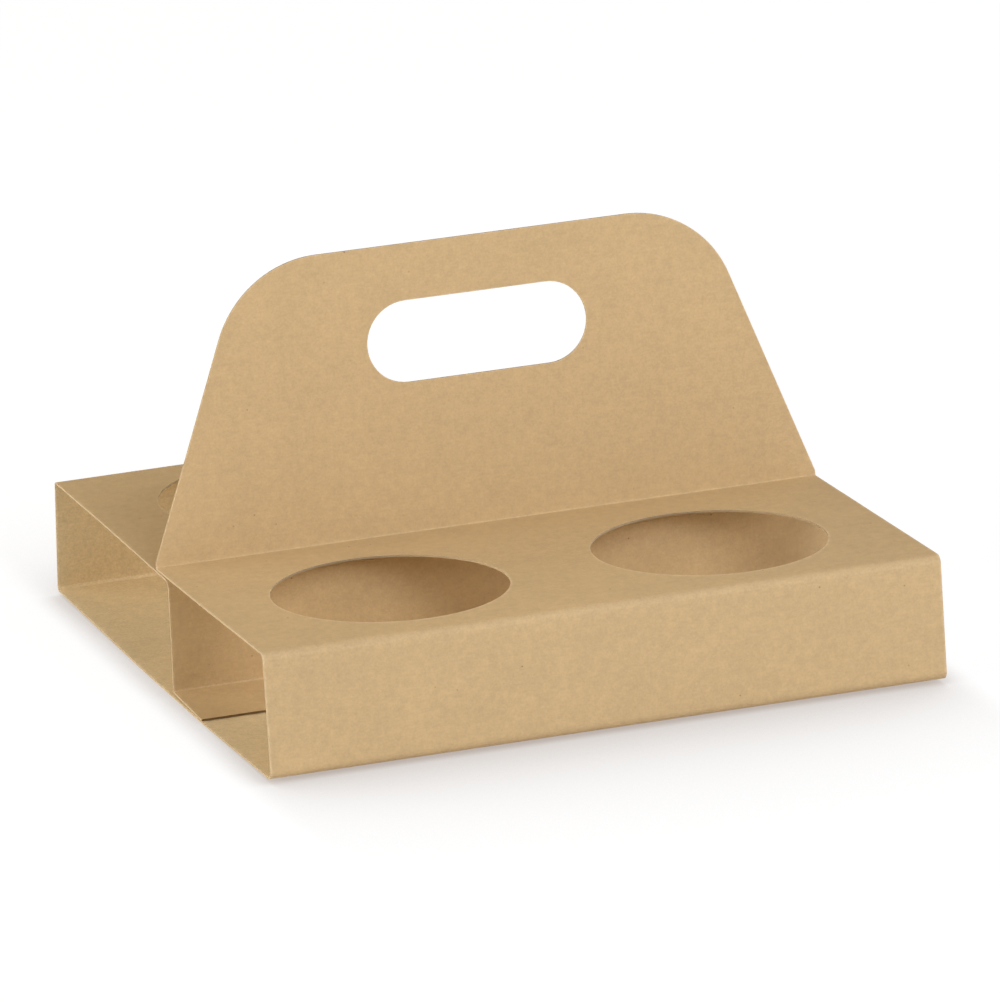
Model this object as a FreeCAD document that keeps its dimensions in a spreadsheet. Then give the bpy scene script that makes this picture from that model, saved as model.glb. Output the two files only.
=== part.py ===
import FreeCAD, Part
import math
import os

import Sketcher
from FreeCAD import Placement, Rotation, Vector

# A carrier for four cups, folded from one strip of kraft card.
# The strip runs: glue flap, middle wall, back top panel, back wall, floor,
# front wall, front top panel, handle. Its two laps are glued.
# X runs along the folds, Y from front to back, Z up from the table.
# The origin is the middle of the footprint.

SIZES = {
    "card": 0.6,                # thickness of the card
    "carrier_length": 210.0,    # along the folds
    "floor_depth": 211.5,       # front foot fold to back foot fold
    "floor_bow": 1.4,           # the foot folds stand this far off the table
    "rest_strip": 60.0,         # depth of the flat strip that touches the table
    "front_wall": 37.8,
    "front_lean": 2.3,          # top of the front wall, towards the back
    "front_panel": 101.7,       # front top fold to handle fold
    "front_fall": 1.6,          # the front top panel drops this far to the handle
    "back_wall": 36.0,
    "back_lean": 3.6,           # top of the back wall, towards the front
    "lap_width": 11.5,          # the front top panel passes the middle wall by this
    "lap_gap": 0.35,            # between the two top panels in the lap
    "middle_lean": 0.5,         # top of the middle wall, towards the front
    "flap_width": 27.0,
    "flap_gap": 0.15,           # under the free edge of the glue flap
    "flap_rise": 1.0,           # under the flap at the foot of the middle wall
    "glue_width": 5.0,
    "glue_inset": 6.0,          # the glue stops this far from the open ends
    "handle_height": 88.0,      # along the handle, from its fold
    "handle_lean": 3.3,         # degrees, towards the back
    "handle_top": 145.0,        # between the sloping sides, at the top
    "handle_corner": 34.0,
    "handle_shoulder": 1.5,     # the sides start this far above the fold
    "hand_hole_length": 69.5,
    "hand_hole_width": 25.0,
    "hand_hole_height": 58.2,   # its middle above the fold
    "cup_hole": 70.8,           # diameter
    "cup_pitch": 100.2,         # front hole to front hole along X
    "back_pitch": 97.2,         # back hole to back hole
    "front_row": 47.3,          # from the front top fold to the hole middles
    "back_row": 44.3,           # from the back top fold to the hole middles
    "crease": 0.5,              # inside radius of the two inward folds
    "back_fold": 0.9,           # inside radius, at the top and foot of the back wall
    "front_foot_fold": 2.4,
    "front_top_fold": 1.8,
    "middle_fold": 2.4,
    "floor_bend": 200.0,        # where the floor leaves the table
    "waste": 3.0,               # card trimmed off around the handle
}

# Places that several features share, seen along X as (Y, Z).
FRONT_TOP_Y = "(-sheet.floor_depth / 2 + sheet.front_lean)"
FRONT_TOP_Z = "(sheet.floor_bow + sheet.front_wall)"
BACK_TOP_Y = "(sheet.floor_depth / 2 - sheet.back_lean)"
BACK_TOP_Z = "(sheet.floor_bow + sheet.back_wall)"
HANDLE_Y = f"({FRONT_TOP_Y} + sheet.front_panel)"
HANDLE_Z = f"({FRONT_TOP_Z} - sheet.front_fall)"
MIDDLE_Y = f"({HANDLE_Y} - sheet.lap_width)"
MIDDLE_Z = f"({HANDLE_Z} - sheet.card - sheet.lap_gap)"
FLAP_FOLD_Y = f"({MIDDLE_Y} + sheet.middle_lean)"
FLAP_EDGE_Y = f"({FLAP_FOLD_Y} - sheet.flap_width)"
HANDLE_PANEL = "(sheet.handle_height + sheet.waste)"
FRONT_SLOPE = "-atan(sheet.front_fall / sheet.front_panel)"
BACK_SLOPE = f"atan(({BACK_TOP_Z} - {MIDDLE_Z}) / ({BACK_TOP_Y} - {MIDDLE_Y}))"

# Corners of the card's outer face from the flap's free edge to the handle's end,
# as Y, Z and the fold's radius on that face.
FOLD_LINE = [
    (FLAP_EDGE_Y, "2 * sheet.card + sheet.flap_gap", None),
    (FLAP_FOLD_Y, "2 * sheet.card + sheet.flap_rise", "sheet.crease"),
    (MIDDLE_Y, MIDDLE_Z, "sheet.middle_fold + sheet.card"),
    (BACK_TOP_Y, BACK_TOP_Z, "sheet.back_fold + sheet.card"),
    ("sheet.floor_depth / 2", "sheet.floor_bow", "sheet.back_fold + sheet.card"),
    (f"{FLAP_EDGE_Y} + sheet.rest_strip", "0", "sheet.floor_bend"),
    (FLAP_EDGE_Y, "0", "sheet.floor_bend"),
    ("-sheet.floor_depth / 2", "sheet.floor_bow", "sheet.front_foot_fold + sheet.card"),
    (FRONT_TOP_Y, FRONT_TOP_Z, "sheet.front_top_fold + sheet.card"),
    (HANDLE_Y, HANDLE_Z, "sheet.crease"),
    (
        f"{HANDLE_Y} + {HANDLE_PANEL} * sin(sheet.handle_lean * 1 deg)",
        f"{HANDLE_Z} + {HANDLE_PANEL} * cos(sheet.handle_lean * 1 deg)",
        None,
    ),
]

HALF = "sheet.carrier_length / 2"
OUTSIDE = f"{HALF} + sheet.waste"

# The card that is cut away around the handle, seen square to the handle.
HANDLE_OFFCUT = [
    (f"-({OUTSIDE})", "sheet.handle_shoulder", None),
    (f"-{HALF}", "sheet.handle_shoulder", None),
    ("-sheet.handle_top / 2", "sheet.handle_height", "sheet.handle_corner"),
    ("sheet.handle_top / 2", "sheet.handle_height", "sheet.handle_corner"),
    (HALF, "sheet.handle_shoulder", None),
    (OUTSIDE, "sheet.handle_shoulder", None),
    (OUTSIDE, f"{HANDLE_PANEL} + sheet.waste", None),
    (f"-({OUTSIDE})", f"{HANDLE_PANEL} + sheet.waste", None),
]


def make_sheet(doc):
    sheet = doc.addObject("Spreadsheet::Sheet", "sheet")
    for row, (name, value) in enumerate(SIZES.items(), start=1):
        sheet.set(f"A{row}", name)
        sheet.set(f"B{row}", str(value))
        sheet.setAlias(f"B{row}", name)
    doc.recompute()
    return sheet


def number(sketch, expression):
    return float(sketch.evalExpression(expression))


def bind(sketch, constraint, expression):
    sketch.setExpression(f"Constraints[{constraint}]", expression)


def pin(sketch, geometry, position, x, y):
    """Ties a point to the sketch's origin by two expressions."""
    origin = (-1, 1)
    for kind, expression, axis in (("DistanceX", x, -2), ("DistanceY", y, -1)):
        if expression == "0":
            sketch.addConstraint(
                Sketcher.Constraint("PointOnObject", geometry, position, axis)
            )
            continue
        value = number(sketch, expression)
        index = sketch.addConstraint(
            Sketcher.Constraint(kind, *origin, geometry, position, value)
        )
        bind(sketch, index, expression)


def draw_folded(sketch, corners, closed):
    """Draws straight runs from corner to corner, with a tangent arc at each that
    has a radius. The corners stay in the sketch as construction points."""
    spots = [Vector(number(sketch, x), number(sketch, y), 0) for x, y, _ in corners]
    count = len(corners)
    ends = {}
    arcs = {}
    for i, (_, _, radius) in enumerate(corners):
        if radius is None:
            ends[i] = (spots[i], spots[i])
            continue
        back = (spots[i - 1] - spots[i]).normalize()
        ahead = (spots[(i + 1) % count] - spots[i]).normalize()
        size = number(sketch, radius)
        half_angle = back.getAngle(ahead) / 2
        reach = size / math.tan(half_angle)
        enter = spots[i] + back * reach
        leave = spots[i] + ahead * reach
        centre = spots[i] + (back + ahead).normalize() * (size / math.sin(half_angle))
        turns_left = back.cross(ahead).z < 0
        first, last = (enter, leave) if turns_left else (leave, enter)
        start = math.atan2(first.y - centre.y, first.x - centre.x)
        stop = math.atan2(last.y - centre.y, last.x - centre.x)
        circle = Part.Circle(centre, Vector(0, 0, 1), size)
        arcs[i] = (Part.ArcOfCircle(circle, start, stop), turns_left)
        ends[i] = (enter, leave)

    lines = {}
    for i in range(count if closed else count - 1):
        after = (i + 1) % count
        run = Part.LineSegment(ends[i][1], ends[after][0])
        lines[i] = sketch.addGeometry(run, False)
    for i, (x, y, radius) in enumerate(corners):
        before = lines.get((i - 1) % count if closed else i - 1)
        after = lines.get(i)
        if radius is None:
            if before is not None and after is not None:
                sketch.addConstraint(Sketcher.Constraint("Coincident", before, 2, after, 1))
            tied, position = (after, 1) if after is not None else (before, 2)
            pin(sketch, tied, position, x, y)
            continue
        shape, turns_left = arcs[i]
        arc = sketch.addGeometry(shape, False)
        corner = sketch.addGeometry(Part.Point(spots[i]), True)
        enter, leave = (1, 2) if turns_left else (2, 1)
        sketch.addConstraint(Sketcher.Constraint("Tangent", before, 2, arc, enter))
        sketch.addConstraint(Sketcher.Constraint("Tangent", arc, leave, after, 1))
        sketch.addConstraint(Sketcher.Constraint("PointOnObject", corner, 1, before))
        sketch.addConstraint(Sketcher.Constraint("PointOnObject", corner, 1, after))
        size = sketch.addConstraint(
            Sketcher.Constraint("Radius", arc, number(sketch, radius))
        )
        bind(sketch, size, radius)
        pin(sketch, corner, 1, x, y)


def draw_slot(sketch, length, width, height):
    """A slot with round ends, level, its middle on the sketch's Y axis."""
    radius = number(sketch, width) / 2
    reach = (number(sketch, length) - number(sketch, width)) / 2
    middle = number(sketch, height)
    ends = []
    for side, start in ((-1, math.pi / 2), (1, -math.pi / 2)):
        centre = Vector(side * reach, middle, 0)
        circle = Part.Circle(centre, Vector(0, 0, 1), radius)
        ends.append(sketch.addGeometry(Part.ArcOfCircle(circle, start, start + math.pi)))
    left, right = ends
    top = sketch.addGeometry(
        Part.LineSegment(Vector(reach, middle + radius, 0), Vector(-reach, middle + radius, 0))
    )
    bottom = sketch.addGeometry(
        Part.LineSegment(Vector(-reach, middle - radius, 0), Vector(reach, middle - radius, 0))
    )
    for first, first_end, second, second_end in (
        (top, 2, left, 1),
        (left, 2, bottom, 1),
        (bottom, 2, right, 1),
        (right, 2, top, 1),
    ):
        sketch.addConstraint(
            Sketcher.Constraint("Tangent", first, first_end, second, second_end)
        )
    for side in (top, bottom):
        sketch.addConstraint(Sketcher.Constraint("Horizontal", side))
    size = sketch.addConstraint(Sketcher.Constraint("Radius", left, radius))
    bind(sketch, size, f"{width} / 2")
    pin(sketch, left, 3, f"-({length} - {width}) / 2", height)
    across = sketch.addConstraint(
        Sketcher.Constraint("DistanceX", left, 3, right, 3, 2 * reach)
    )
    bind(sketch, across, f"{length} - {width}")


def draw_box(sketch, left, right, low, high):
    corners = [(left, low, None), (right, low, None), (right, high, None), (left, high, None)]
    draw_folded(sketch, corners, closed=True)


def plane_of(body, role):
    return next(f for f in body.Origin.OriginFeatures if f.Role == role)


def new_sketch(body, name, role):
    sketch = body.newObject("Sketcher::SketchObject", name)
    sketch.AttachmentSupport = [(plane_of(body, role), "")]
    sketch.MapMode = "FlatFace"
    return sketch


def lay_in_handle(sketch):
    """Moves a sketch from the XZ plane into the leaning handle, its origin on the fold."""
    sketch.setExpression("AttachmentOffset.Base.y", HANDLE_Z)
    sketch.setExpression("AttachmentOffset.Base.z", f"-{HANDLE_Y}")
    sketch.AttachmentOffset = Placement(Vector(), Rotation(Vector(1, 0, 0), -1))
    sketch.setExpression("AttachmentOffset.Rotation.Axis.x", "1")
    sketch.setExpression("AttachmentOffset.Rotation.Angle", "-sheet.handle_lean * 1 deg")


def lay_in_panel(sketch, y, z, slope):
    """Moves a sketch from the XY plane into a top panel, its X axis on the fold."""
    sketch.setExpression("AttachmentOffset.Base.y", y)
    sketch.setExpression("AttachmentOffset.Base.z", z)
    sketch.AttachmentOffset = Placement(Vector(), Rotation(Vector(1, 0, 0), 1))
    sketch.setExpression("AttachmentOffset.Rotation.Axis.x", "1")
    sketch.setExpression("AttachmentOffset.Rotation.Angle", slope)


def folded_strip(doc):
    """The whole strip as folded, still square at the handle and without holes."""
    path = doc.addObject("Sketcher::SketchObject", "fold_line")
    path.Placement = Placement(Vector(), Rotation(Vector(1, 1, 1), 120))
    draw_folded(path, FOLD_LINE, closed=False)
    section = doc.addObject("Part::Offset2D", "card_section")
    section.Source = path
    section.Fill = True
    section.Mode = "Skin"
    section.Join = "Arc"
    section.setExpression("Value", "sheet.card")
    strip = doc.addObject("Part::Extrusion", "strip")
    strip.Base = section
    strip.DirMode = "Custom"
    strip.Dir = Vector(1, 0, 0)
    strip.Solid = True
    strip.Symmetric = True
    strip.setExpression("LengthFwd", "sheet.carrier_length")
    return strip


def add_glue(body, name, left, right, low, high):
    """A glue line between two layers, reaching half a card into each."""
    sketch = new_sketch(body, f"{name}_section", "YZ_Plane")
    draw_box(sketch, left, right, low, high)
    glue = body.newObject("PartDesign::Pad", name)
    glue.Profile = sketch
    glue.Midplane = True
    glue.setExpression("Length", "sheet.carrier_length - 2 * sheet.glue_inset")


def cut(doc, body, name, sketch, length, midplane):
    """Pockets the sketch and makes sure that it took material away."""
    doc.recompute()
    before = body.Shape.Volume
    pocket = body.newObject("PartDesign::Pocket", name)
    pocket.Profile = sketch
    pocket.Midplane = midplane
    pocket.setExpression("Length", length)
    doc.recompute()
    if not body.Shape.Volume < before:
        raise RuntimeError(f"{name} cut nothing")


def add_glue_lines(body):
    lap_middle = f"({MIDDLE_Y} + {HANDLE_Y} + sheet.middle_fold) / 2"
    add_glue(
        body, "lap_glue",
        f"{lap_middle} - sheet.glue_width / 2",
        f"{lap_middle} + sheet.glue_width / 2",
        f"{MIDDLE_Z} - sheet.card / 2",
        f"{MIDDLE_Z} + sheet.lap_gap + sheet.card / 2",
    )
    add_glue(
        body, "flap_glue",
        f"{FLAP_EDGE_Y} + sheet.card",
        f"{FLAP_EDGE_Y} + sheet.card + sheet.glue_width",
        "sheet.card / 2",
        "1.5 * sheet.card + sheet.flap_gap",
    )


def cut_handle(doc, body):
    outline = new_sketch(body, "handle_outline", "XZ_Plane")
    lay_in_handle(outline)
    draw_folded(outline, HANDLE_OFFCUT, closed=True)
    cut(doc, body, "handle_trim", outline, "sheet.waste", midplane=True)

    hand_hole = new_sketch(body, "hand_hole_outline", "XZ_Plane")
    lay_in_handle(hand_hole)
    draw_slot(
        hand_hole, "sheet.hand_hole_length", "sheet.hand_hole_width", "sheet.hand_hole_height"
    )
    cut(doc, body, "hand_hole", hand_hole, "sheet.waste", midplane=True)


def cut_cup_holes(doc, body, name, edge, slope, pitch, row):
    """Two holes cut square through a top panel. Its outer top fold is the
    sketch's X axis, and row places the hole middles from there."""
    holes = new_sketch(body, f"{name}_outlines", "XY_Plane")
    lay_in_panel(holes, *edge, slope)
    for side in ("-", ""):
        x = f"{side}{pitch} / 2"
        centre = Vector(number(holes, x), number(holes, row), 0)
        size = number(holes, "sheet.cup_hole") / 2
        hole = holes.addGeometry(Part.Circle(centre, Vector(0, 0, 1), size))
        width = holes.addConstraint(Sketcher.Constraint("Diameter", hole, 2 * size))
        bind(holes, width, "sheet.cup_hole")
        pin(holes, hole, 3, x, row)
    cut(doc, body, name, holes, "sheet.front_wall / 2", midplane=True)


def make_carrier(doc):
    body = doc.addObject("PartDesign::Body", "carrier")
    body.Label = "carrier"
    body.BaseFeature = folded_strip(doc)
    doc.recompute()
    add_glue_lines(body)
    cut_handle(doc, body)
    cut_cup_holes(
        doc, body, "front_holes", (FRONT_TOP_Y, FRONT_TOP_Z), FRONT_SLOPE,
        "sheet.cup_pitch", "sheet.front_row",
    )
    cut_cup_holes(
        doc, body, "back_holes", (BACK_TOP_Y, BACK_TOP_Z), BACK_SLOPE,
        "sheet.back_pitch", "-sheet.back_row",
    )
    return body


def check(doc, bodies):
    for item in doc.Objects:
        if "Invalid" in item.State or "Error" in item.State:
            raise RuntimeError(f"{item.Name} failed: {item.State}")
    for body in bodies:
        shape = body.Shape
        if shape.isNull() or not shape.isValid():
            raise RuntimeError(f"{body.Label} has no valid shape")
        if len(shape.Solids) != 1:
            raise RuntimeError(f"{body.Label} is not one solid")


def main():
    doc = FreeCAD.newDocument("cup_carrier")
    make_sheet(doc)
    bodies = [make_carrier(doc)]
    doc.recompute()
    check(doc, bodies)
    os.makedirs("parts", exist_ok=True)
    for body in bodies:
        body.Shape.exportStep(os.path.join("parts", f"{body.Label}.step"))


main()
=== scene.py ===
import math

import bmesh
import bpy
from mathutils import Matrix, Vector, kdtree, noise


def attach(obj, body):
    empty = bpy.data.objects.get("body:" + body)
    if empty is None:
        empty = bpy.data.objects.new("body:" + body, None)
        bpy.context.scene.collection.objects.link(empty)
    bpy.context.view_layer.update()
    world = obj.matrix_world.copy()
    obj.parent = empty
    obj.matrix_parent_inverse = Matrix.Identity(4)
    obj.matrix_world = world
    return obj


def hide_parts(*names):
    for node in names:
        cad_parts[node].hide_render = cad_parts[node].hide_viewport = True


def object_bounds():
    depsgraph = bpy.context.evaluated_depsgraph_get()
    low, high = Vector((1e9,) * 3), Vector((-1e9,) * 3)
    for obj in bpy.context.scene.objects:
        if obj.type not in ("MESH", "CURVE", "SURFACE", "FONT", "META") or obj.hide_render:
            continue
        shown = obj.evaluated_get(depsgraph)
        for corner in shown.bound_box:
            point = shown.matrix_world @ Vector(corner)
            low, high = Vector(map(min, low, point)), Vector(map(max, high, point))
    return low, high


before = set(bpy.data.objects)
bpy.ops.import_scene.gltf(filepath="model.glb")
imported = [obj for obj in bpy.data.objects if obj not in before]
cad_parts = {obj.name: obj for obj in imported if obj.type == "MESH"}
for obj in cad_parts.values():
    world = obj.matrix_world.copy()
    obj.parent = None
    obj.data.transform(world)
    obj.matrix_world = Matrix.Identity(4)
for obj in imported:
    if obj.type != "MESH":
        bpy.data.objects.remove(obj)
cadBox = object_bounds()
mm = 0.001
acrossX, alongY, upZ = Vector((1, 0, 0)), Vector((0, 1, 0)), Vector((0, 0, 1))


# The blank is one strip of card, lying flat with its outer face up.

card = {
    "length": 210.0,         # along the folds, in mm like every size here
    "thickness": 0.6,
    "cell": 3.5,             # spacing of the mesh on the open panels
    "sharpAngle": 35.0,      # degrees, past which an edge is drawn crisp
}

# Corners of the card's outer face in the order of the strip, from the free edge of the
# glue flap to the top of the handle: Y, Z, radius on that face, steps of the fold.
corners = {
    "flapEdge": (-39.75, 1.35, 0, 0),
    "flapFold": (-12.75, 2.2, 0.5, 6),
    "middleTop": (-13.25, 36.65, 3.0, 10),
    "backTop": (102.15, 37.4, 1.5, 8),
    "backFoot": (105.75, 1.4, 1.5, 8),
    "restBack": (20.25, 0.0, 200.0, 3),
    "restFront": (-39.75, 0.0, 200.0, 3),
    "frontFoot": (-105.75, 1.4, 3.0, 10),
    "frontTop": (-103.45, 39.2, 2.4, 10),
    "handleFold": (-1.75, 37.6, 0.5, 6),
    "handleEnd": (3.316, 125.454, 0, 0),
}

cupHoles = {
    "radius": 35.4,
    "pitch": 100.2,          # from front hole to front hole along the folds
    "backPitch": 97.2,       # from back hole to back hole
    "frontRow": 47.3,        # from the front top corner to the hole middles
    "backRow": 44.3,         # from the back top corner to the hole middles
    "patch": 84.0,           # side of the square of mesh that turns into a hole
    "rings": 3,              # mesh rings between that square and the hole
}

handle = {
    "height": 88.0,          # from the corner of its fold
    "halfTop": 72.5,         # where the sloping sides would meet the top
    "shoulder": 1.5,         # the sides slope from here
    "cornerRadius": 34.0,
    "cornerSteps": 24,
    "holeLength": 69.5,
    "holeWidth": 25.0,
    "holeMiddle": 58.2,      # above the corner of the fold
    "endSteps": 24,          # steps of the hand hole's round ends
    "rings": 2,
    "beside": 8.0,           # the mesh is laid anew this far round the hand hole at least
    "below": 6.5,
    "above": 6.0,
}


def layOut(corners):
    # Flat lengths of the strip: where each fold's lines lie, and where each corner is.
    names = list(corners)
    spots = [Vector(corners[n][:2]) for n in names]
    angles = [math.atan2(*(b - a).yx) for a, b in zip(spots, spots[1:])]
    along, lines, places = 0.0, [], {names[0]: 0.0}
    used = 0.0
    for i in range(1, len(names) - 1):
        radius, steps = corners[names[i]][2:]
        turn = (angles[i] - angles[i - 1] + math.pi) % (2 * math.pi) - math.pi
        reach = radius * math.tan(abs(turn) / 2)
        start = along + (spots[i] - spots[i - 1]).length - used - reach
        chord = 2 * radius * math.sin(abs(turn) / 2 / steps)
        for k in range(steps + 1):
            share = turn / steps * (0.5 if k in (0, steps) else 1)
            lines.append({"at": start + k * chord, "turn": share, "fold": names[i]})
        places[names[i]] = start + steps * chord - reach      # seen from the run after it
        places[names[i] + "Before"] = start + reach           # seen from the run before it
        along = start + steps * chord
        used = reach
    total = along + (spots[-1] - spots[-2]).length - used
    places[names[-1]] = total
    return lines, places, angles[0], total


foldLines, places, firstAngle, total = layOut(corners)


def between(start, stop, count=None):
    # Even steps from start to stop, both ends counted.
    count = count or max(1, round((stop - start) / card["cell"]))
    return [start + (stop - start) * k / count for k in range(count + 1)]


half = card["length"] / 2
patchHalf = cupHoles["patch"] / 2
holeX = cupHoles["pitch"] / 2
patchCells = round(cupHoles["patch"] / card["cell"])
handleBase = places["handleFold"]
rowMiddles = {
    "back": places["backTopBefore"] - cupHoles["backRow"],
    "front": places["frontTop"] + cupHoles["frontRow"],
}

columns = sorted({round(x, 4) for x in (
    between(-half, -holeX - patchHalf)
    + between(-holeX - patchHalf, -holeX + patchHalf, patchCells)
    + between(-holeX + patchHalf, holeX - patchHalf)
    + between(holeX - patchHalf, holeX + patchHalf, patchCells)
    + between(holeX + patchHalf, half)
)})

marks = [0.0] + [line["at"] for line in foldLines]
for middle in rowMiddles.values():
    marks += between(middle - patchHalf, middle + patchHalf, patchCells)
shoulderAt = handleBase + handle["shoulder"]
marks += between(shoulderAt, handleBase + handle["height"])
marks = sorted({round(m, 4) for m in marks + [total]})
rows = sorted({
    round(m, 4)
    for a, b in zip(marks, marks[1:])
    for m in between(a, b, max(1, math.ceil((b - a) / card["cell"] - 0.2)))
})

blank = bmesh.new()
bmesh.ops.create_grid(blank, x_segments=1, y_segments=1, size=0.5)
bmesh.ops.scale(blank, verts=blank.verts, vec=(card["length"], total, 1))
bmesh.ops.translate(blank, verts=blank.verts, vec=(0, total / 2, 0))


def cutBlank(place, direction, trim=False):
    # A straight cut through the whole blank. A trim takes away what lies past it.
    bmesh.ops.bisect_plane(
        blank, geom=blank.verts[:] + blank.edges[:] + blank.faces[:], dist=1e-6,
        plane_co=place, plane_no=direction, clear_outer=trim,
    )


for stops, direction in ((columns[1:-1], acrossX), (rows[1:-1], alongY)):
    for place in stops:
        cutBlank(direction * place, direction)
print("blank cut into cells:", len(blank.faces), "faces,", round(total, 2), "mm long")


def openPatch(low, high):
    # Takes out the cells of a rectangle and gives back the edges round the gap.
    inside = {
        f for f in blank.faces
        if low[0] < f.calc_center_median().x < high[0]
        and low[1] < f.calc_center_median().y < high[1]
    }
    border = [
        e for f in inside for e in f.edges
        if sum(g in inside for g in e.link_faces) == 1
    ]
    bmesh.ops.delete(blank, geom=list(inside), context="FACES")
    return [e for e in border if e.is_valid]


def fillPatch(border, ring, rings):
    # Joins the gap's edges to the ring of the hole, with even rings between them.
    # The ring is lifted meanwhile, so that the bridge doesn't twist.
    lifted = list({v for e in ring for v in e.verts})
    bmesh.ops.translate(blank, verts=lifted, vec=upZ)
    made = bmesh.ops.bridge_loops(blank, edges=border + ring)
    bmesh.ops.translate(blank, verts=lifted, vec=-upZ)
    bmesh.ops.subdivide_edges(blank, edges=made["edges"], cuts=rings, use_grid_fill=True)


for row, middle in rowMiddles.items():
    circleX = cupHoles["backPitch"] / 2 if row == "back" else holeX
    for side in (-1, 1):
        low = (side * holeX - patchHalf, middle - patchHalf)
        high = (side * holeX + patchHalf, middle + patchHalf)
        border = openPatch(low, high)
        ring = bmesh.ops.create_circle(
            blank, segments=len(border), radius=cupHoles["radius"],
            matrix=Matrix.Translation((side * circleX, middle, 0)),
        )["verts"]
        ringEdges = list({e for v in ring for e in v.link_edges})
        fillPatch(border, ringEdges, cupHoles["rings"])
print("cup holes cut")


# The handle's hand hole and outline are cut while the strip is still flat.

slotReach = (handle["holeLength"] - handle["holeWidth"]) / 2
slotMiddle = handleBase + handle["holeMiddle"]
slotRadius = handle["holeWidth"] / 2
reworkX = min(x for x in columns if x > handle["holeLength"] / 2 + handle["beside"])
reworkLow = max(y for y in rows if y < slotMiddle - slotRadius - handle["below"])
reworkHigh = min(y for y in rows if y > slotMiddle + slotRadius + handle["above"])
border = openPatch((-reworkX, reworkLow), (reworkX, reworkHigh))
for side in (1, -1):
    centre = Vector((side * slotReach, slotMiddle, 0))
    start = bmesh.ops.create_vert(blank, co=centre - side * alongY * slotRadius)["vert"]
    bmesh.ops.spin(
        blank, geom=start, cent=centre, axis=upZ, dvec=(0, 0, 0),
        angle=math.pi, steps=handle["endSteps"], use_duplicate=False,
    )
ends = [v for v in blank.verts if len(v.link_edges) == 1]
sides = [
    blank.edges.new([v for v in ends if (v.co.y - slotMiddle) * side > 0]) for side in (-1, 1)
]
spare = len(border) // 2 - handle["endSteps"]
bmesh.ops.subdivide_edges(blank, edges=sides, cuts=spare - 1)
slotEdges = [e for e in blank.edges if not e.link_faces]
fillPatch(border, slotEdges, handle["rings"])

# The sloping sides and round corners are trimmed off, one straight cut after another.
slope = math.atan2(handle["height"] - handle["shoulder"], half - handle["halfTop"])
inset = handle["cornerRadius"] * math.tan(slope / 2)
roundX = handle["halfTop"] - inset
roundY = handleBase + handle["height"] - handle["cornerRadius"]
steps = handle["cornerSteps"]
for side in (-1, 1):
    for angle in [slope] + [slope * (k + 0.5) / steps for k in range(steps)]:
        out = Vector((side * math.sin(angle), math.cos(angle), 0))
        reach = handle["cornerRadius"]
        if angle != slope:
            reach *= math.cos(slope / steps / 2)
        cutBlank(Vector((side * roundX, roundY, 0)) + out * reach, out, trim=True)
for face in blank.faces:
    if face.normal.z < 0:
        face.normal_flip()
print("handle trimmed:", len(blank.faces), "faces")


# Marks that the materials read: place on the sheet, cut edges and folds.

sheetShift = Vector((0.2, 0.0))              # metres, moves the pattern along the folds
sheetPlace = blank.loops.layers.uv.new("sheet")
for face in blank.faces:
    for loop in face.loops:
        loop[sheetPlace].uv = loop.vert.co.xy * mm + sheetShift

foldLift = {                 # how much the fibres of each fold have lifted, 0 to 1
    "flapFold": 1.0,
    "middleTop": 0.5,
    "backTop": 0.5,
    "backFoot": 0.9,
    "frontFoot": 0.0,
    "frontTop": 0.3,
    "handleFold": 0.22,
}
foldRim = 0.35               # share of that lift on a fold's first and last line

burrNarrow = {               # how much narrower the burr is than on the other edges
    "handle": 2.0,
    "farRim": 3.0,           # added at the far side of a cup hole
    "nearRim": 0.45,         # and taken off at its near side
}

# The flap's own free edge lies in shade and has no pale burr.
edgeVerts = [v for v in blank.verts if v.is_boundary and v.co.y > 0.01]
edgeTree = kdtree.KDTree(len(edgeVerts))
for i, vert in enumerate(edgeVerts):
    edgeTree.insert(vert.co, i)
edgeTree.balance()
cutEdge = blank.verts.layers.float.new("cutEdge")      # mm to the nearest cut edge
foldMark = blank.verts.layers.float.new("fold")        # lift on a fold's middle, 0 off it
flatAlong = blank.verts.layers.float.new("along")
for vert in blank.verts:
    nearest, _, apart = edgeTree.find(vert.co)
    narrow = burrNarrow["handle"] if vert.co.y > shoulderAt else 1.0
    for middle in rowMiddles.values():
        if Vector((abs(nearest.x) - holeX, nearest.y - middle)).length < patchHalf:
            rise = (nearest.y - middle) / cupHoles["radius"]
            narrow = 1 + rise * burrNarrow["farRim" if rise > 0 else "nearRim"]
    vert[cutEdge] = apart * narrow
    vert[flatAlong] = vert.co.y
bands = {}
for line in foldLines:
    low, high = bands.get(line["fold"], (line["at"], line["at"]))
    bands[line["fold"]] = (min(low, line["at"]), max(high, line["at"]))
for name, lift in foldLift.items():
    low, high = bands[name]
    for vert in blank.verts:
        if low + 1e-4 < vert.co.y < high - 1e-4:
            vert[foldMark] = lift
        elif low - 1e-3 < vert.co.y < high + 1e-3:
            vert[foldMark] = foldRim * lift


# The strip is folded from the handle back to the glue flap.

for line in reversed(foldLines):
    beyond = [v for v in blank.verts if v[flatAlong] > line["at"] + 1e-4]
    bmesh.ops.rotate(
        blank, verts=beyond, cent=(0, line["at"], 0), matrix=Matrix.Rotation(line["turn"], 3, "X")
    )
bmesh.ops.rotate(
    blank, verts=blank.verts, cent=(0, 0, 0), matrix=Matrix.Rotation(firstAngle, 3, "X")
)
bmesh.ops.translate(blank, verts=blank.verts, vec=(0, *corners["flapEdge"][:2]))
bmesh.ops.scale(blank, verts=blank.verts, vec=(mm, mm, mm))
print("folded")


# Real card warps a little, but not where it stands or at its outline.

warp = {
    "depth": 0.25,           # mm
    "spacing": 75.0,
    "still": 3.0,            # no warp up to this height
    "footFade": 20.0,        # full warp this far above that
    "topFade": 15.0,         # and no rise or fall at the top, fading over this
    "seed": 3,
}

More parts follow.
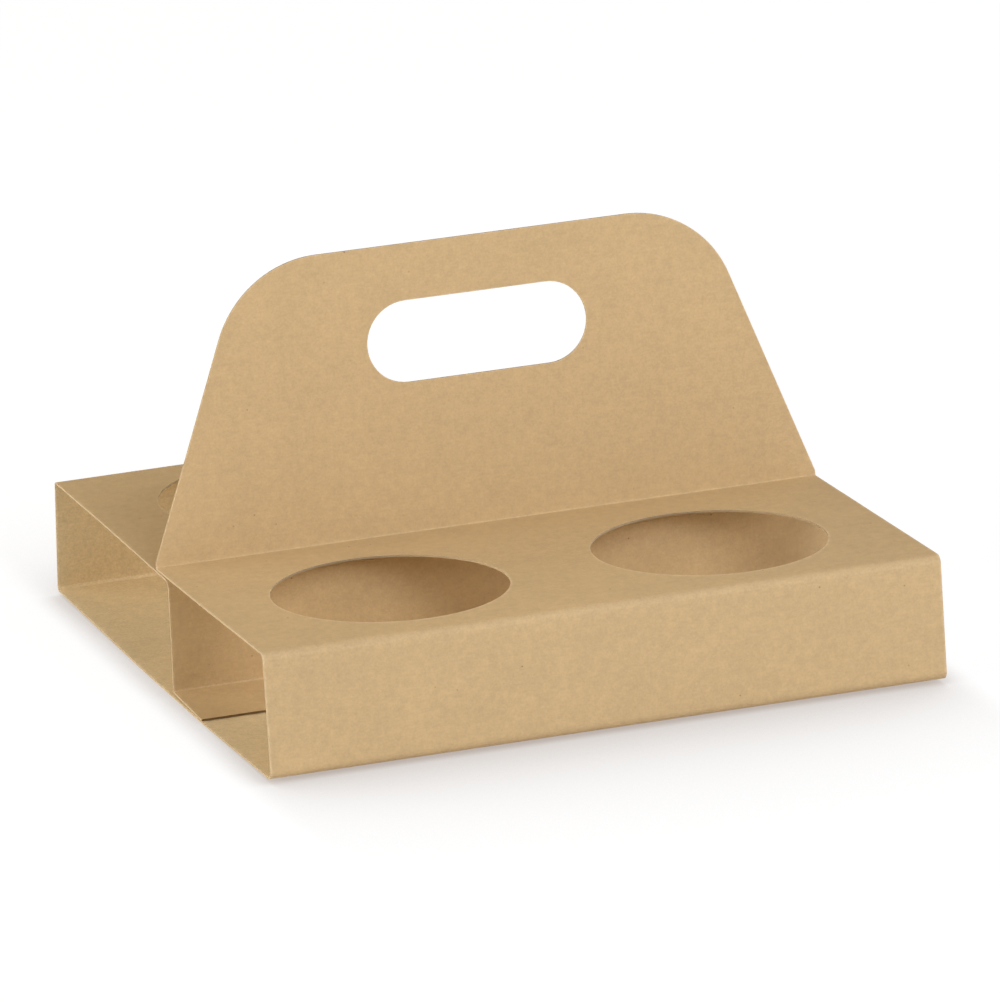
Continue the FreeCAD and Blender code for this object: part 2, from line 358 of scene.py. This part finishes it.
noise.seed_set(warp["seed"])
for vert in blank.verts:
    drift = noise.noise_vector(vert.co / (warp["spacing"] * mm)) * warp["depth"] * mm
    keepY = max(0.0, 1 - (vert.co.y / cadBox[1].y) ** 4)
    keepZ = min(1.0, max(0.0, (vert.co.z - warp["still"] * mm) / (warp["footFade"] * mm)))
    rise = keepZ * min(1.0, max(0.0, (cadBox[1].z - vert.co.z) / (warp["topFade"] * mm)))
    vert.co += Vector((0, drift.y * keepY * keepZ, drift.z * rise))

flatMesh = bpy.data.meshes.new("folded_sheet")
blank.to_mesh(flatMesh)
blank.free()
sheetObject = bpy.data.objects.new("folded_sheet", flatMesh)
bpy.context.scene.collection.objects.link(sheetObject)
thicken = sheetObject.modifiers.new("thickness", "SOLIDIFY")
thicken.thickness = card["thickness"] * mm
thicken.offset = -1
thicken.use_even_offset = True
thicken.use_quality_normals = True
thicken.material_offset = 1
thicken.material_offset_rim = 2
for _ in range(3):
    flatMesh.materials.append(None)
bpy.context.view_layer.update()
solid = sheetObject.evaluated_get(bpy.context.evaluated_depsgraph_get())
cardMesh = bpy.data.meshes.new_from_object(solid)
cardMesh.name = "carrier_card"
bpy.data.objects.remove(sheetObject)
cardMesh.shade_smooth()
cardMesh.set_sharp_from_angle(angle=math.radians(card["sharpAngle"]))
carrier = bpy.data.objects.new("carrier_card", cardMesh)
bpy.context.scene.collection.objects.link(carrier)
print("card thickened:", len(cardMesh.polygons), "faces")


def addNode(tree, kind, **settings):
    # A node with its named inputs linked to sockets or set to values.
    node = tree.nodes.new("ShaderNode" + kind)
    inputs = settings.pop("inputs", {})
    for name, value in settings.items():
        setattr(node, name, value)
    for name, value in inputs.items():
        if isinstance(value, bpy.types.NodeSocket):
            tree.links.new(value, node.inputs[name])
        else:
            node.inputs[name].default_value = value
    return node


def shades(tree, value, low, high):
    # Stretches a 0 to 1 value to the range low to high.
    node = addNode(tree, "MapRange", inputs={
        "Value": value, "To Min": low, "To Max": high,
    })
    return node.outputs["Result"]


def window(tree, value, low, high):
    # 0 below low and 1 above high, smooth between.
    node = addNode(tree, "MapRange", interpolation_type="SMOOTHSTEP", inputs={
        "Value": value, "From Min": low, "From Max": high,
    })
    return node.outputs["Result"]


def combine(tree, operation, first, second):
    node = addNode(tree, "Math", operation=operation)
    for slot, value in enumerate((first, second)):
        if isinstance(value, bpy.types.NodeSocket):
            tree.links.new(value, node.inputs[slot])
        else:
            node.inputs[slot].default_value = value
    return node.outputs["Value"]


def mixColour(tree, factor, first, second, blend="MIX"):
    node = addNode(tree, "Mix", data_type="RGBA", blend_type=blend)
    for slot, value in ((0, factor), (6, first), (7, second)):
        if isinstance(value, bpy.types.NodeSocket):
            tree.links.new(value, node.inputs[slot])
        else:
            node.inputs[slot].default_value = value
    return node.outputs[2]


def noiseAt(tree, place, scale, detail=3.0, roughness=0.55, dimensions="3D"):
    node = addNode(tree, "TexNoise", noise_dimensions=dimensions, inputs={
        "Vector": place, "Scale": scale, "Detail": detail, "Roughness": roughness,
    })
    return node.outputs["Fac"]


def newMaterial(name):
    material = bpy.data.materials.new(name)
    material.use_nodes = True
    tree = material.node_tree
    tree.nodes.clear()
    shader = addNode(tree, "BsdfPrincipled")
    output = addNode(tree, "OutputMaterial")
    tree.links.new(shader.outputs["BSDF"], output.inputs["Surface"])
    return material, tree, shader


def toned(colour, amount):
    return (*[part * amount for part in colour], 1.0)


kraft = {
    "outer": (0.511, 0.354, 0.179),      # linear colour of the outer face
    "inner": (0.640, 0.500, 0.295),      # greyer on the inside, as the card is; paler too, which is painted light on the dim insides of the tubes
    "streak": 0.06,                      # strength of the fibres, as a share of the colour
    "hue": 0.002,                        # how far the patches drift in hue
    "hueReach": (0.3, 0.7),              # pattern values between which it drifts
    "burrWidth": (0.15, 0.85),           # mm from a cut edge, full and gone
    "roughness": (0.60, 0.80),
    "specular": 0.22,
    "relief": (0.35, 0.00006),           # strength, metres
}

# Mottling: scale per mm, detail, roughness, strength as a share of the colour.
mottling = {
    "cloud": (0.03, 1, 0.55, 0.03),
    "patch": (0.11, 2, 0.55, 0.045),
    "floc": (0.38, 2, 0.6, 0.09),
    "grain": (1.3, 3, 0.65, 0.125),
}

# Fibres: degrees round on the sheet, stretch, scale per mm, share of the streaks.
fibres = {
    "slant": (6, (0.16, 0.95, 1), 1.1, 0.55),
    "crossing": (-68, (0.3, 1.5, 1), 1.3, 0.45),
}

# Where fibres have lifted: tone over the paper's, pattern that breaks it up, the values
# between which that does so, least share left.
lifted = {
    "fold": ((1.15, 1.18, 1.26), "grain", (0.38, 0.62), 0.65),
    "burr": ((1.12, 1.17, 1.30), "floc", (0.38, 0.58), 0.6),
}

specks = {                               # of dark bark, few and small
    "colour": (0.17, 0.09, 0.04),
    "perMillimetre": 0.15,
    "size": (0.012, 0.055),              # full and gone, as a share of the spacing
    "rarity": (0.92, 1.0),
    "strength": 0.75,
}

cut = {
    "colour": (0.272, 0.200, 0.116),
    "shaded": (0.19, 0.115, 0.050),      # painted shade on the flap's free edge, down in the corner
    "fine": (3500.0, 0.80, 1.20),        # scale per metre, least and most share of the colour
    "coarse": (420.0, 0.78, 1.20),
    "roughness": (0.75, 0.95),
    "relief": (0.5, 0.0001),             # strength, metres
}


def dress(tree, shader, colour, height, gloss, values):
    # Joins the colour, the relief and the roughness to the shader.
    strength, depth = values["relief"]
    relief = addNode(tree, "Bump", inputs={
        "Height": height, "Strength": strength, "Distance": depth,
    })
    shader.inputs["Specular IOR Level"].default_value = kraft["specular"]
    tree.links.new(colour, shader.inputs["Base Color"])
    tree.links.new(relief.outputs["Normal"], shader.inputs["Normal"])
    tree.links.new(shades(tree, gloss, *values["roughness"]), shader.inputs["Roughness"])


def kraftMaterial(name, colour, seed, mottle):
    material, tree, shader = newMaterial(name)
    sheet = addNode(tree, "UVMap", uv_map="sheet").outputs["UV"]
    millimetres = addNode(tree, "Mapping", inputs={
        "Vector": sheet, "Location": (seed, seed, 0), "Scale": (1000, 1000, 1),
    }).outputs["Vector"]

    patterns, strengths = {}, {}
    for pattern, (scale, detail, roughness, strength) in mottling.items():
        patterns[pattern] = noiseAt(tree, millimetres, scale, detail, roughness, "2D")
        strengths[pattern] = strength
    streaks, shares = [], []
    for turn, stretch, scale, share in fibres.values():
        turned = addNode(tree, "Mapping", inputs={
            "Vector": millimetres, "Rotation": (0, 0, math.radians(turn)), "Scale": stretch,
        }).outputs["Vector"]
        streaks.append(noiseAt(tree, turned, scale, 2, dimensions="2D"))
        shares.append(combine(tree, "MULTIPLY", streaks[-1], share))
    patterns["streak"] = combine(tree, "ADD", *shares)
    strengths["streak"] = kraft["streak"]

    # A mottle over 1 shows most in the grain and the streaks.
    level = None
    for pattern, value in patterns.items():
        amount = strengths[pattern] * (mottle if pattern in ("grain", "streak") else mottle ** 0.5)
        part = shades(tree, value, 1 - amount, 1 + amount)
        level = combine(tree, "MULTIPLY", level, part) if level else part
    drift = kraft["hue"]
    cool = (colour[0] * (1 - drift), colour[1], colour[2] * (1 + 2 * drift), 1.0)
    warm = (colour[0] * (1 + drift), colour[1], colour[2] * (1 - 2 * drift), 1.0)
    hue = combine(tree, "ADD", combine(tree, "MULTIPLY", patterns["patch"], 0.5),
                  combine(tree, "MULTIPLY", streaks[0], 0.5))
    hue = window(tree, hue, *kraft["hueReach"])
    paper = mixColour(tree, 1.0, mixColour(tree, hue, cool, warm), level, "MULTIPLY")

    cells = addNode(tree, "TexVoronoi", voronoi_dimensions="2D", inputs={
        "Vector": millimetres, "Scale": specks["perMillimetre"],
    })
    pick = addNode(tree, "SeparateColor", inputs={"Color": cells.outputs["Color"]})
    apart = window(tree, cells.outputs["Distance"], *specks["size"])
    near = combine(tree, "SUBTRACT", 1.0, apart)
    speck = combine(tree, "MULTIPLY", near, window(tree, pick.outputs["Red"], *specks["rarity"]))
    speck = combine(tree, "MULTIPLY", speck, specks["strength"])
    paper = mixColour(tree, speck, paper, (*specks["colour"], 1))

    # Folds and cut edges, where the fibres have lifted and look paler.
    toEdge = addNode(tree, "Attribute", attribute_name="cutEdge").outputs["Fac"]
    where = {
        "fold": addNode(tree, "Attribute", attribute_name="fold").outputs["Fac"],
        "burr": combine(tree, "SUBTRACT", 1.0, window(tree, toEdge, *kraft["burrWidth"])),
    }
    for place, (tone, pattern, reach, least) in lifted.items():
        broken = shades(tree, window(tree, patterns[pattern], *reach), least, 1.0)
        paper = mixColour(tree, combine(tree, "MULTIPLY", where[place], broken), paper,
                          mixColour(tree, 1.0, paper, (*tone, 1), "MULTIPLY"))

    dress(tree, shader, paper, patterns["grain"], patterns["grain"], kraft)
    return material


def cutMaterial():
    # The card's torn fibres, seen on its cut edges, with painted shade on the flap's free edge.
    material, tree, shader = newMaterial("card_cut_edge")
    place = addNode(tree, "TexCoord").outputs["Object"]
    fine = noiseAt(tree, place, cut["fine"][0])
    coarse = noiseAt(tree, place, cut["coarse"][0])
    level = combine(tree, "MULTIPLY", shades(tree, fine, *cut["fine"][1:]),
                    shades(tree, coarse, *cut["coarse"][1:]))
    along = addNode(tree, "Attribute", attribute_name="along").outputs["Fac"]
    # Painted shade: near the flap's free edge the cut edge turns to the dark shaded colour.
    shade = window(tree, along, 0.1, 0.4)
    tornAndShaded = mixColour(tree, shade, (*cut["shaded"], 1), (*cut["colour"], 1))
    tornAndShaded = mixColour(tree, 1.0, tornAndShaded, level, "MULTIPLY")
    dress(tree, shader, tornAndShaded, fine, coarse, cut)
    return material


cardMesh.materials[0] = kraftMaterial("kraft_outer", kraft["outer"], seed=0.0, mottle=1.0)
cardMesh.materials[1] = kraftMaterial("kraft_inner", kraft["inner"], seed=40.0, mottle=1.6)
cardMesh.materials[2] = cutMaterial()

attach(carrier, "root")
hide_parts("carrier")
print("card finished")


# Two lines of dried glue hold the laps.

glue = {
    "colour": (0.62, 0.52, 0.36),
    "lap": ((-99.0, 99.0), (-8.8, -3.8), (36.0, 37.2)),
    "flap": ((-99.0, 99.0), (-39.1, -34.2), (0.5, 0.85)),
}

beads = bmesh.new()
for name in ("lap", "flap"):
    lows, highs = zip(*glue[name])
    size = Vector(highs) - Vector(lows)
    bead = bmesh.ops.create_cube(beads, size=1.0)["verts"]
    bmesh.ops.scale(beads, verts=bead, vec=size)
    bmesh.ops.translate(beads, verts=bead, vec=(Vector(highs) + Vector(lows)) / 2)
bmesh.ops.scale(beads, verts=beads.verts, vec=(mm, mm, mm))
glueMesh = bpy.data.meshes.new("glue_lines")
beads.to_mesh(glueMesh)
beads.free()
glueObject = bpy.data.objects.new("glue_lines", glueMesh)
bpy.context.scene.collection.objects.link(glueObject)
glueMaterial, tree, shader = newMaterial("dried_glue")
place = addNode(tree, "TexCoord").outputs["Object"]
lumps = noiseAt(tree, place, 300.0)
tree.links.new(
    mixColour(tree, lumps, toned(glue["colour"], 0.9), toned(glue["colour"], 1.1)),
    shader.inputs["Base Color"],
)
tree.links.new(shades(tree, lumps, 0.3, 0.5), shader.inputs["Roughness"])
glueMesh.materials.append(glueMaterial)
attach(glueObject, "root")


studio = {
    "floorColour": (0.85, 0.85, 0.85),   # what the floor throws back at the object
    "floorSeen": (0.10, 0.10, 0.10),     # its matt part, looked at
    "shadowDepth": 0.74,                 # share of the glow that the object can take away
    "shadowTint": (1.0, 0.88, 0.80),     # of the glow where the object shades it
    "floorGlow": 0.92,                   # and its glow, which makes it white
    "shadowReach": 0.20,                 # metres, how far round the object that glow fades
    "shadowKnee": (0.4, 0.4),            # shade past which it deepens slower, and how much slower
    "sideShadow": (0.104, 0.116),        # metres from the middle, where it ends at the open sides
    "worldLight": 0.12,
}

# Softboxes: degrees round from the front to the left, degrees up, metres away,
# width and height in metres, watts, colour.
softboxes = {
    "left_softbox": (86, 12, 2.2, 1.2, 0.9, 70, (1.0, 0.95, 0.86)),
    "left_back_softbox": (120, 12, 2.2, 1.2, 0.9, 31, (1.0, 0.96, 0.88)),
    "right_softbox": (274, 12, 2.2, 1.2, 0.9, 31, (1.0, 0.95, 0.85)),
    "right_back_softbox": (240, 12, 2.2, 1.2, 0.9, 15, (1.0, 0.95, 0.85)),
    "right_front_softbox": (303, 12, 2.2, 1.2, 0.9, 14, (0.95, 1.0, 1.14)),
    "front_softbox": (347, 38, 2.2, 1.4, 1.2, 25, (0.96, 1.0, 1.10)),
}

ground = bmesh.new()
bmesh.ops.create_grid(ground, x_segments=2, y_segments=2, size=4.0)
floorMesh = bpy.data.meshes.new("studio_floor")
ground.to_mesh(floorMesh)
ground.free()
floor = bpy.data.objects.new("studio_floor", floorMesh)
bpy.context.scene.collection.objects.link(floor)
floorMaterial = bpy.data.materials.new("studio_white")
floorMaterial.use_nodes = True
tree = floorMaterial.node_tree
tree.nodes.clear()
ray = addNode(tree, "LightPath")
seen = combine(tree, "MAXIMUM", ray.outputs["Is Camera Ray"], combine(
    tree, "MAXIMUM", ray.outputs["Is Glossy Ray"], ray.outputs["Is Transmission Ray"]))
matt = addNode(tree, "BsdfDiffuse", inputs={"Color": (*studio["floorColour"], 1)})
mattSeen = addNode(tree, "BsdfDiffuse", inputs={"Color": (*studio["floorSeen"], 1)})
openness = addNode(tree, "AmbientOcclusion", samples=8, inputs={
    "Distance": studio["shadowReach"],
}).outputs["AO"]
place = addNode(tree, "SeparateXYZ", inputs={
    "Vector": addNode(tree, "TexCoord").outputs["Object"],
}).outputs["X"]
beside = window(tree, combine(tree, "ABSOLUTE", place, 0.0), *studio["sideShadow"])
shaded = combine(tree, "MULTIPLY", combine(tree, "SUBTRACT", 1.0, openness),
                 combine(tree, "SUBTRACT", 1.0, beside))
knee, slower = studio["shadowKnee"]
soft = combine(tree, "ADD", combine(tree, "MULTIPLY", shaded, slower), combine(
    tree, "MULTIPLY", combine(tree, "MINIMUM", shaded, knee), 1 - slower))
fade = combine(tree, "SUBTRACT", 1.0, combine(tree, "MULTIPLY", soft, studio["shadowDepth"]))
glow = addNode(tree, "Emission", inputs={
    "Color": mixColour(tree, shaded, (1, 1, 1, 1), (*studio["shadowTint"], 1)),
    "Strength": combine(tree, "MULTIPLY", fade, studio["floorGlow"]),
})
lit = addNode(tree, "AddShader")
tree.links.new(mattSeen.outputs["BSDF"], lit.inputs[0])
tree.links.new(glow.outputs["Emission"], lit.inputs[1])
either = addNode(tree, "MixShader", inputs={"Fac": seen})
tree.links.new(matt.outputs["BSDF"], either.inputs[1])
tree.links.new(lit.outputs["Shader"], either.inputs[2])
output = addNode(tree, "OutputMaterial")
tree.links.new(either.outputs["Shader"], output.inputs["Surface"])
floorMesh.materials.append(floorMaterial)

world = bpy.data.worlds.new("soft_room")
bpy.context.scene.world = world
world.use_nodes = True
world.node_tree.nodes["Background"].inputs["Color"].default_value = (1, 1, 1, 1)
world.node_tree.nodes["Background"].inputs["Strength"].default_value = studio["worldLight"]


def addSoftbox(name, around, rise, distance, width, height, power, colour):
    light = bpy.data.lights.new(name, "AREA")
    light.energy = power
    light.shape = "RECTANGLE"
    light.size, light.size_y = width, height
    light.color = colour
    lamp = bpy.data.objects.new(name, light)
    turned, raised = math.radians(around), math.radians(rise)
    lamp.location = distance * Vector((
        -math.sin(turned) * math.cos(raised), -math.cos(turned) * math.cos(raised), math.sin(raised)
    ))
    lamp.rotation_mode = "QUATERNION"
    lamp.rotation_quaternion = (Vector((0, 0, 0.05)) - lamp.location).to_track_quat("-Z", "Y")
    bpy.context.scene.collection.objects.link(lamp)


for name, values in softboxes.items():
    addSoftbox(name, *values)

shot = {
    "aim": (0, 0, 0.05),
    "pitch": 16.398,         # degrees down
    "yaw": 18.735,
    "roll": -2.576,
    "distance": 2.9294,
    "slide": (-0.00425, 0.00606),
    "focal": 9761.5,         # in pixels of a picture 1000 pixels wide
}
pitch, yaw, roll = (math.radians(shot[k]) for k in ("pitch", "yaw", "roll"))
ahead = Vector((math.sin(yaw) * math.cos(pitch), math.cos(yaw) * math.cos(pitch), -math.sin(pitch)))
levelRight = Vector((math.cos(yaw), -math.sin(yaw), 0))
levelUp = levelRight.cross(ahead)
right = levelRight * math.cos(roll) + levelUp * math.sin(roll)
up = levelUp * math.cos(roll) - levelRight * math.sin(roll)
lens = bpy.data.cameras.new("camera")
lens.sensor_width = 36.0
lens.lens = shot["focal"] * 36.0 / 1000
lens.clip_start, lens.clip_end = 0.1, 50.0
camera = bpy.data.objects.new("camera", lens)
spot = Vector(shot["aim"]) - ahead * shot["distance"]
spot -= right * shot["slide"][0] + up * shot["slide"][1]
camera.matrix_world = Matrix((
    (right.x, up.x, -ahead.x, spot.x),
    (right.y, up.y, -ahead.y, spot.y),
    (right.z, up.z, -ahead.z, spot.z),
    (0, 0, 0, 1),
))
bpy.context.scene.collection.objects.link(camera)
bpy.context.scene.camera = camera
bpy.context.scene.view_settings.view_transform = "Standard"
print("studio set")
